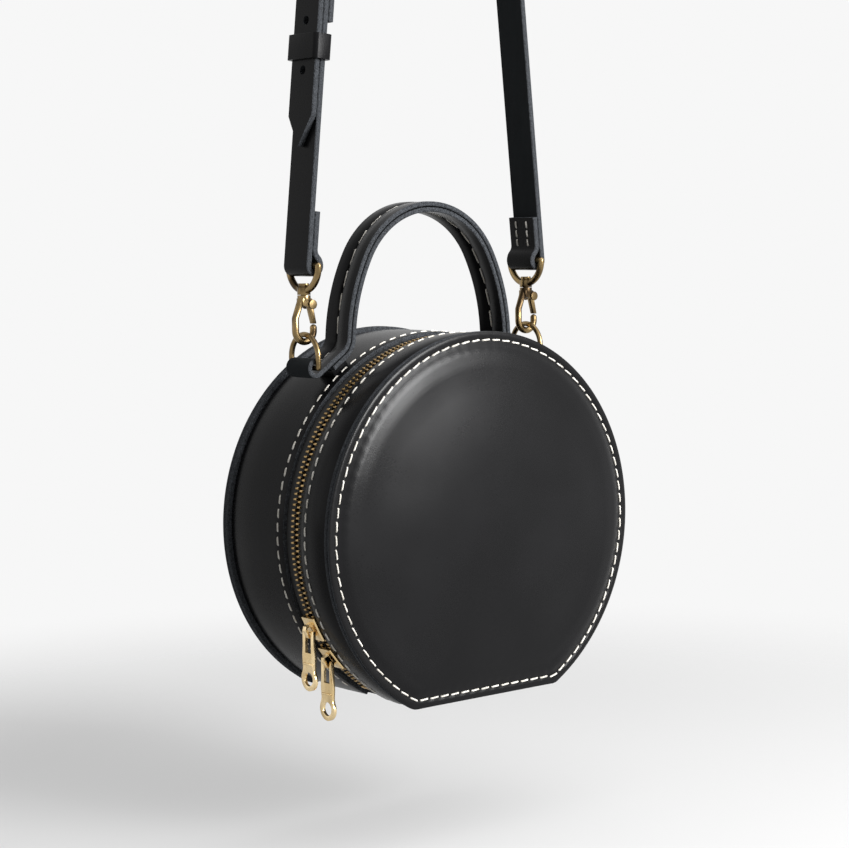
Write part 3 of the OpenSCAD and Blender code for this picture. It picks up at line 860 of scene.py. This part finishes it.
# %% Rounded metal parts
def tumbled(node, material, width_mm, body, segments=2, degrees=28, shape=None):
    obj = frame["nodes"][node].copy()
    obj.data = obj.data.copy()
    obj.parent = None
    obj.hide_render = obj.hide_viewport = False
    for key in [k for k in obj.keys() if k.startswith("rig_")]:
        del obj[key]
    bpy.context.scene.collection.objects.link(obj)
    obj.name = node + "_metal"
    obj.data.materials.clear()
    obj.data.materials.append(material)
    focus(obj, edit=True)
    bpy.ops.mesh.remove_doubles(threshold=0.00001)
    bpy.ops.mesh.dissolve_limited(angle_limit=math.radians(2.5))
    if shape:
        shape()
    bpy.ops.object.mode_set(mode="OBJECT")
    rounded(obj, width_mm, segments, degrees)
    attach(obj, body)
    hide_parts(node)
    return obj


def carve(obj, lines, low, high, material):
    """Cut a box out of the object; low and high are corners on the given lines."""
    let_go()
    bpy.ops.mesh.primitive_cube_add(size=1, enter_editmode=True)
    mesh = bmesh.from_edit_mesh(bpy.context.object.data)
    low, high = Vector(low), Vector(high)
    for vertex in mesh.verts:
        vertex.co = lines @ ((low + high) / 2 + vertex.co * (high - low))
    bpy.ops.mesh.select_all(action="SELECT")
    bpy.ops.mesh.normals_make_consistent(inside=False)
    tool = settle(material)
    modify(obj, "BOOLEAN", operation="DIFFERENCE", solver="EXACT", object=tool)
    let_go()
    bpy.data.objects.remove(tool)


for which in ("upper", "lower"):
    tumbled("slider_" + which, BRASS, 0.6, "slider_" + which, 3)
    pull = tumbled("pull_" + which, BRASS, 0.4, "pull_" + which)
    pivot = Vector(joints["pull_" + which + "_swing"]["pos_m"])
    from_pivot = Matrix.Translation(pivot) @ Matrix.Scale(MM, 4)
    carve(pull, from_pivot, (-2, -2.25, -10.2), (2, 2.25, -4.5), BRASS)
    for face in (-0.75, 0.75):
        begin_circle("waist", from_pivot @ Vector((face, -4, -15.6)), 0.5, (0, 1, 0), 12)
        go(0, 8, 0)
        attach(rounded(settle(BRASS), 0.3), "pull_" + which)
for side in ("left", "right"):
    tumbled("hook_" + side, AGED, 0.3, "hook_" + side)
    low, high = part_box("gate_pin_" + side)
    middle = (low + high) / 2
    for end, way in ((low.y, -1), (high.y, 1)):
        begin_circle("rivet_head", Vector((middle.x, end, middle.z)), 2.3, (0, way, 0), 28)
        go(0, way * 0.5, 0)
        head = rounded(settle(AGED), 0.4, 3)
        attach(head, "hook_" + side)
    tumbled("gate_" + side, AGED, 0.25, "gate_" + side)
    tumbled("gate_pin_" + side, AGED, 0.15, "hook_" + side)
    tumbled("eye_" + side, AGED, 0.25, "eye_" + side)
    tumbled("d_ring_" + side, AGED, 0.2, "d_ring_" + side)
tumbled("buckle_frame", AGED, 0.2, "strap")
tumbled("buckle_prong", AGED, 0.3, "prong")
tumbled("zip_stops_rear", TOOTH, 0.2, "bag")
tumbled("zip_stops_front", TOOTH, 0.2, "front_cover")
print("metal parts rounded")

# %% [markdown]
# The handle and the straps are strips of thick hide. Each starts as its own cross-section, a
# small grid with softened corners and, on the handle, a groove for the thread. The grid's
# cells carry the finish of the side they face, and Extrude and Spin pass it along the strip.

# %% Strips of hide
def begin_strip(name, x, z, out, width, thick, groove=0.0, y=0.0):
    """Start a strip at (x, z) in metres, its grain side towards the direction out."""
    let_go()
    bpy.ops.mesh.primitive_plane_add(size=2, enter_editmode=True)
    bpy.context.object.name = name
    bpy.ops.mesh.subdivide(number_cuts=7)
    for material in (HIDE, EDGE, FLESH):
        bpy.context.object.data.materials.append(material)
    mesh = bmesh.from_edit_mesh(bpy.context.object.data)
    halves = (0, 0.8, width * 0.32, width / 2 - 0.35, width / 2)
    lifts = (-groove, -groove * 0.25, 0, -0.08, -0.5)
    for face in mesh.faces:
        centre = face.calc_center_median()
        if abs(centre.x) > 0.75 or abs(centre.y) < 0.75:
            face.material_index = 1
        else:
            face.material_index = 0 if centre.y > 0 else 2
    for vertex in mesh.verts:
        column = round(vertex.co.x * 4)
        across = math.copysign(halves[abs(column)], column)
        lift = lifts[abs(column)] if vertex.co.y > 0 or abs(column) > 2 else 0
        height = vertex.co.y * (thick / 2 + lift) * MM
        vertex.co = (x + out[0] * height, y + across * MM, z + out[1] * height)
    bmesh.update_edit_mesh(bpy.context.object.data)


def end_strip():
    """Paint both ends as cut edges and finish the strip."""
    obj = bpy.context.object
    mesh = bmesh.from_edit_mesh(obj.data)
    for face in mesh.faces:
        if face.select:
            face.material_index = 1
    mesh.faces.ensure_lookup_table()
    for face in list(mesh.faces)[:64]:
        face.material_index = 1
    bmesh.update_edit_mesh(obj.data)
    obj = settle()
    bpy.ops.object.shade_smooth_by_angle(angle=math.radians(35))
    return obj


def bend(x, z, degrees, steps):
    """Bend the strip about the point (x, z) in metres; anticlockwise seen from the front."""
    turn((x, 0, z), degrees, steps)


print("strip helper ready")

# %% [markdown]
# The handle has two layers. The outer one runs from a curl round one ring's bar, up its
# foot, over the top and down to the other curl. Each bend of the pattern is one Spin.

# %% Handle layers
HANDLE_W = 18.6
TOP_Z, TOP_R, TOP_TURN = 157.4, 46.0, 62.0
LEG_R, LEG_TURN = 97.0, 25.0
ROOT_R, SLOPE = 8.0, 35.0
FOOT = 17.7
CURL_X, CURL_Z = 71.1, 78.7


def ray(radius, degrees):
    a = math.radians(degrees)
    return Vector((radius * math.cos(a), radius * math.sin(a)))


top_c = Vector((0, TOP_Z - TOP_R))
leg_c = top_c + ray(TOP_R, 90 + TOP_TURN) - ray(LEG_R, 90 + TOP_TURN)
root_c = leg_c + ray(LEG_R + ROOT_R, 90 + TOP_TURN + LEG_TURN)
curl_c = Vector((-CURL_X, CURL_Z))
foot_way = Vector((math.cos(math.radians(SLOPE)), math.sin(math.radians(SLOPE))))


def bend_about(centre, degrees, steps, mirrored=False):
    at = place(-centre.x if mirrored else centre.x, 0, centre.y)
    bend(at.x, at.z, degrees, steps)


def run_over_top():
    """From the left root over the top to the right root."""
    bend_about(root_c, 90 - SLOPE - 3, 10)
    bend_about(leg_c, -LEG_TURN, 12)
    bend_about(top_c, -2 * TOP_TURN, 44)
    bend_about(leg_c, -LEG_TURN, 12, True)
    bend_about(root_c, 90 - SLOPE - 3, 10, True)


curl_r = WALL * 1.5
start = place(curl_c.x + ray(curl_r, 80).x, 0, curl_c.y + ray(curl_r, 80).y)
begin_strip("handle_outer_layer", start.x, start.z, -ray(1, 80), HANDLE_W, WALL, 0.75)
bend_about(curl_c, 225, 26)
go(FOOT * foot_way.x, 0, FOOT * foot_way.y)
run_over_top()
go(FOOT * foot_way.x, 0, -FOOT * foot_way.y)
bend_about(curl_c, 225, 26, True)
outer_layer = end_strip()
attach(outer_layer, "bag")
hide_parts("handle_outer")

inset = WALL * 1.5 + 0.05
INNER_FOOT = 9.0
spot = root_c + ray(ROOT_R + inset, SLOPE - 90) - INNER_FOOT * foot_way
start = place(spot.x, 0, spot.y)
begin_strip("handle_inner_layer", start.x, start.z, -ray(1, SLOPE - 90) * -1, HANDLE_W, WALL,
            0.75)
go(INNER_FOOT * foot_way.x, 0, INNER_FOOT * foot_way.y)
run_over_top()
go(INNER_FOOT * foot_way.x, 0, -INNER_FOOT * foot_way.y)
inner_layer = end_strip()
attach(inner_layer, "bag")
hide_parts("handle_inner")
for side in ("left", "right"):
    tumbled("handle_pad_" + side, HIDE, 0.5, "bag")

# %% [markdown]
# Long stitches lie in the groove on the handle's outer and inner faces, and two short ones
# hold each foot.

# %% Handle stitches
HANDLE_STITCH, HANDLE_PITCH = 8.2, 11.3


def handle_line(inset):
    """The face of the handle at this depth, from the left root to the right one."""
    left = [leg_c + ray(LEG_R - inset, 177 - i * 0.5) for i in range(50)]
    over = [top_c + ray(TOP_R - inset, 152 - i * 1.0) for i in range(125)]
    right = [Vector((-p.x, p.y)) for p in reversed(left)]
    return [tuple(p) for p in left + over + right]


def handle_places(inset, lift, sign):
    made = []
    for spot, way in spaced(handle_line(inset), HANDLE_PITCH, closed=False):
        out = Vector((-way.y, 0, way.x)) * sign
        at = place(spot.x, HAND_Y, spot.y) + out * lift * MM
        made.append(basis(at, Vector((way.x, 0, way.y)), out))
    return made


outer_places = handle_places(0, -0.35, 1)
inner_places = handle_places(2 * WALL + 0.05, -0.35, -1)
sew("handle_outer_stitches", HANDLE_STITCH, outer_places, "bag", "handle_thread")
sew("handle_inner_stitches", HANDLE_STITCH, inner_places, "bag")
foot_places = []
for side in (-1, 1):
    for k in (0, 1):
        along = Vector((side * foot_way.x, 0, -foot_way.y))
        out = Vector((side * math.sin(math.radians(SLOPE)), 0, math.cos(math.radians(SLOPE))))
        spot = root_c + ray(ROOT_R, SLOPE - 90) - foot_way * (3.5 + 5.2 * k)
        at = place(-side * spot.x, HAND_Y, spot.y) - out * 0.35 * MM
        foot_places.append(basis(at, along, out))
sew("handle_foot_stitches", 3.6, foot_places, "bag")

# %% [markdown]
# Each strap leans inwards from its eye, so it is drawn on lines of its own: x points outwards
# from the bag's middle and u runs up the strap.

# %% Lines of the two straps
SIDES = {"right": (1, math.radians(5.52)), "left": (-1, math.radians(5.884))}
STRAP_W, STRAP_T = 19.0, 3.0
EYE_X, EYE_DROP = 71.1, 486


def strap_lines(side):
    """The matrix from a strap's own millimetres to metres in the row."""
    sign, lean = SIDES[side]
    c, s = math.cos(lean) * MM, math.sin(lean) * MM
    return Matrix(((sign * c, 0, -sign * s, sign * EYE_X * MM), (0, MM, 0, 0),
                   (s, 0, c, -EYE_DROP * MM), (0, 0, 0, 1)))


def on_strap(side, x, u, y=0.0):
    return strap_lines(side) @ Vector((x, y, u))


def strap_ways(side):
    """Unit directions out from the middle and up the strap."""
    lines = strap_lines(side)
    return lines.col[0].xyz.normalized(), lines.col[2].xyz.normalized()


def run_up(side, distance):
    go(*(strap_ways(side)[1] * distance))


def strap_bend(side, x, u, degrees, steps):
    centre = on_strap(side, x, u)
    bend(centre.x, centre.z, SIDES[side][0] * degrees, steps)


def fold_round_eye(name, side, fold_u):
    """The glued end of the fold, the step past it and the turn under the eye's bar."""
    spot = on_strap(side, 0.4, fold_u)
    out = -strap_ways(side)[0]
    begin_strip(name, spot.x, spot.z, Vector((out.x, out.z)), STRAP_W, STRAP_T)
    run_up(side, 8 - fold_u)
    strap_bend(side, 0.4 - 5.08, 8, -52, 6)
    strap_bend(side, 1.576, 0, 52, 6)
    strap_bend(side, 0, 0, 180, 18)


def run_of(side):
    """The length of a strap's straight run, from its eye to the crown's bend."""
    lean = SIDES[side][1]
    return EYE_X * math.sin(lean) + EYE_DROP * math.cos(lean)


print("strap runs", run_of("right"), run_of("left"))

# %% [markdown]
# The long strap is one strip of hide from its fold round the right eye, up over the crown and
# down to the pointed tail, with the buckle's holes punched through.

# %% Long strap
def punch(obj, side, x, spots):
    """Punch round holes, given as (u, radius), through the strap."""
    out, up = strap_ways(side)
    cutters = []
    for u, radius in spots:
        begin_circle("punch", on_strap(side, x - 5, u), radius, tuple(out), 20)
        go(*(out * 10))
        cutters.append(settle(EDGE))
    tool = join("punches", cutters) if len(cutters) > 1 else cutters[0]
    modify(obj, "BOOLEAN", operation="DIFFERENCE", solver="EXACT", object=tool)
    let_go()
    bpy.data.objects.remove(tool)


fold_round_eye("strap_long_hide", "right", 22.3)
for _ in range(8):
    run_up("right", run_of("right") / 8)
bend(0, 0, 180 - math.degrees(SIDES["right"][1] + SIDES["left"][1]), 70)
down = run_of("left") - 72
for _ in range(8):
    run_up("left", -down / 8)
run_up("left", -16)
tail = bmesh.from_edit_mesh(bpy.context.object.data)
for vertex in tail.verts:
    if vertex.select:
        vertex.co += strap_ways("left")[1] * abs(vertex.co.y) / (STRAP_W / 2 * MM) * 15 * MM
bmesh.update_edit_mesh(bpy.context.object.data)
strap_hide = end_strip()
punch(strap_hide, "left", 6.6, [(92, 2.2), (115.5, 2.2), (139, 2.2), (162.5, 2.4)])
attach(strap_hide, "strap")
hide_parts("strap_long")
print("long strap", len(strap_hide.data.polygons), "faces")

# %% [markdown]
# The short strap folds round the left eye at its lower end and round the buckle's bar at its
# upper end, where a slot lets the prong through.

# %% Short strap and keeper
fold_round_eye("strap_short_hide", "left", 25.8)
run_up("left", 60)
run_up("left", 99.8)
strap_bend("left", 0.1, 159.8, 180, 18)
strap_bend("left", 3.1, 159.8, 44.7, 6)
strap_bend("left", -6.0, 150.8, -44.7, 6)
run_up("left", 115.2 - 150.8)
short_hide = end_strip()
carve(short_hide, strap_lines("left"), (-9, -2.2, 154.8), (9, 2.2, 166.8), EDGE)
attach(short_hide, "strap")
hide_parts("strap_short")


def round_keeper():
    """Bend the keeper round the strap's corners by rounding its four outer edges."""
    mesh = bmesh.from_edit_mesh(bpy.context.object.data)
    up = strap_ways("left")[1]
    middle = sum((v.co for v in mesh.verts), Vector()) / len(mesh.verts)
    along = [e for e in mesh.edges if e.calc_length() > 0.008
             and abs((e.verts[0].co - e.verts[1].co).normalized().dot(up)) > 0.99]
    along.sort(key=lambda e: -((e.verts[0].co + e.verts[1].co) / 2 - middle).length)
    bpy.ops.mesh.select_all(action="DESELECT")
    for edge in along[:4]:
        edge.select_set(True)
    bmesh.update_edit_mesh(bpy.context.object.data)
    bpy.ops.mesh.bevel(offset=0.0026, segments=6, affect="EDGES")


tumbled("strap_keeper", HIDE, 0.45, "strap", 3, 50, round_keeper)
print("short strap", len(short_hide.data.polygons), "faces")

# %% [markdown]
# Two rows of stitches hold each fold shut. On the left strap they show on the inner face only.

# %% Strap stitches
def fold_stitch_places(side, x, sign, u_start):
    out, up = strap_ways(side)
    made = []
    for row in (-4, 4):
        for k in range(3):
            at = on_strap(side, x, u_start + 1.6 + 4.6 * k, row) + out * sign * 0.2 * MM
            made.append(basis(at, up, out * sign))
    return made


sew("right_fold_stitches", 3.2,
    fold_stitch_places("right", 5.0, 1, 7.8) + fold_stitch_places("right", -1.1, -1, 7.8),
    "strap", "strap_thread_right")
sew("left_fold_stitches", 3.2,
    fold_stitch_places("left", -1.1, -1, 10.3) + fold_stitch_places("left", -1.1, -1, 117.2),
    "strap", "strap_thread_left")

# %% [markdown]
# A pale floor lies far enough below the bag for the open cover to clear it when the bag
# swings, with soft lamps around it. Floor and world look pale to the camera and in
# reflections, and are much dimmer where they light the bag.

# %% Studio
def white_stage():
    f = Finish("studio_floor")
    shown = f.node("ShaderNodeLightPath", {}, {}, "Is Camera Ray")
    for kind in ("Is Glossy Ray", "Is Transmission Ray"):
        ray = f.node("ShaderNodeLightPath", {}, {}, kind)
        shown = f.node("ShaderNodeMath", {"operation": "MAXIMUM"}, (shown, ray))
    near = f.node("ShaderNodeTexGradient", {"gradient_type": "SPHERICAL"}, {
        "Vector": f.place}, "Fac")
    f.feed("Base Color", grey(0.36))
    f.feed("Roughness", 0.9)
    f.feed("Specular IOR Level", 0.0)
    f.feed("Emission Color", f.blend(shown, grey(0.0), grey(0.32)))
    f.feed("Emission Strength", 1.0)
    below = f.node("ShaderNodeNewGeometry", {}, {}, "Backfacing")
    f.feed("Alpha", near.between(0.35, 0.75) - below)
    return f.material


let_go()
FLOOR_GAP = 70
floor_z = place(0, 0, -FLAT - FLOOR_GAP).z
bpy.ops.mesh.primitive_plane_add(size=2, location=(0, 0, floor_z))
floor = bpy.context.object
floor.name = "floor"
floor.data.materials.append(white_stage())

world = bpy.data.worlds.new("studio")
bpy.context.scene.world = world
world.use_nodes = True
sky = world.node_tree.nodes["Background"]
sky.inputs["Color"].default_value = grey(1)
paths = world.node_tree.nodes.new("ShaderNodeLightPath")
shown = paths.outputs["Is Camera Ray"]
for kind in ("Is Glossy Ray", "Is Transmission Ray"):
    either = world.node_tree.nodes.new("ShaderNodeMath")
    either.operation = "MAXIMUM"
    world.node_tree.links.new(shown, either.inputs[0])
    world.node_tree.links.new(paths.outputs[kind], either.inputs[1])
    shown = either.outputs[0]
strength = world.node_tree.nodes.new("ShaderNodeMapRange")
strength.inputs["To Min"].default_value = 0.20
strength.inputs["To Max"].default_value = 0.93
world.node_tree.links.new(shown, strength.inputs["Value"])
world.node_tree.links.new(strength.outputs["Result"], sky.inputs["Strength"])


def lamp(name, at, size, watts, aim=(0, 0, 0)):
    let_go()
    bpy.ops.object.light_add(type="AREA", location=place(*at))
    made = bpy.context.object
    made.name = name
    made.data.size = size
    made.data.energy = watts
    made.rotation_mode = "QUATERNION"
    made.rotation_quaternion = (place(*aim) - made.location).to_track_quat("-Z", "Y")
    return made


lamp("key_lamp", (360, -1080, 440), 0.55, 30)
lamp("top_lamp", (300, -350, 1150), 1.4, 15)
lamp("rim_lamp", (-900, 500, 300), 0.6, 0.8)
bpy.context.scene.view_settings.view_transform = "Standard"

# %% [markdown]
# A small function rounds the corners of a box to five places.

# %% Box corners
def corners(box):
    return [[round(value, 5) for value in corner] for corner in box]
